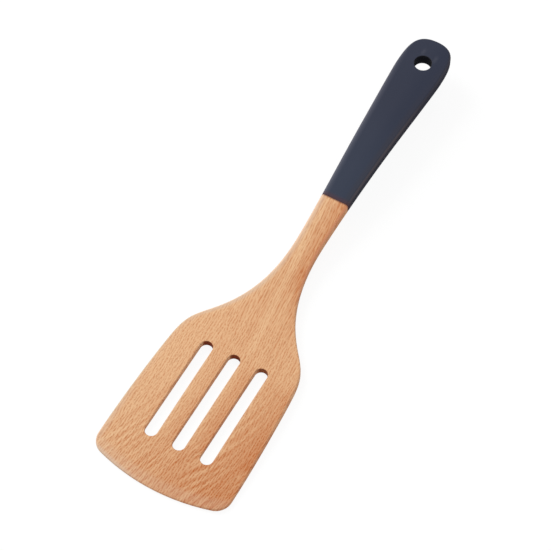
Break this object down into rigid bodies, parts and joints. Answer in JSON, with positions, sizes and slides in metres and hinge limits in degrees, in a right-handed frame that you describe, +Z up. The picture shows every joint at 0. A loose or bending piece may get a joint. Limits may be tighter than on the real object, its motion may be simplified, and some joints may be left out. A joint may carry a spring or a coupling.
{
  "type": "slotted spatula",
  "caption": "Slotted wooden spatula: flat beech blade with rounded front corners, slim bent neck and a dark moulded grip with a hanging hole.",
  "frame": {"origin": "middle of the length and width, on the plane of the blade's flat back", "axes": "+Y along the spatula from the blade tip to the hanging end, +X across the blade, +Z up out of the front face"},
  "size_m": [0.0768, 0.3, 0.0197],
  "materials": {
    "beech": "oiled",
    "grip": "satin"
  },
  "bodies": {
    "root": {"beech_blade": "beech", "grip_sleeve": "grip"}
  },
  "joints": []
}
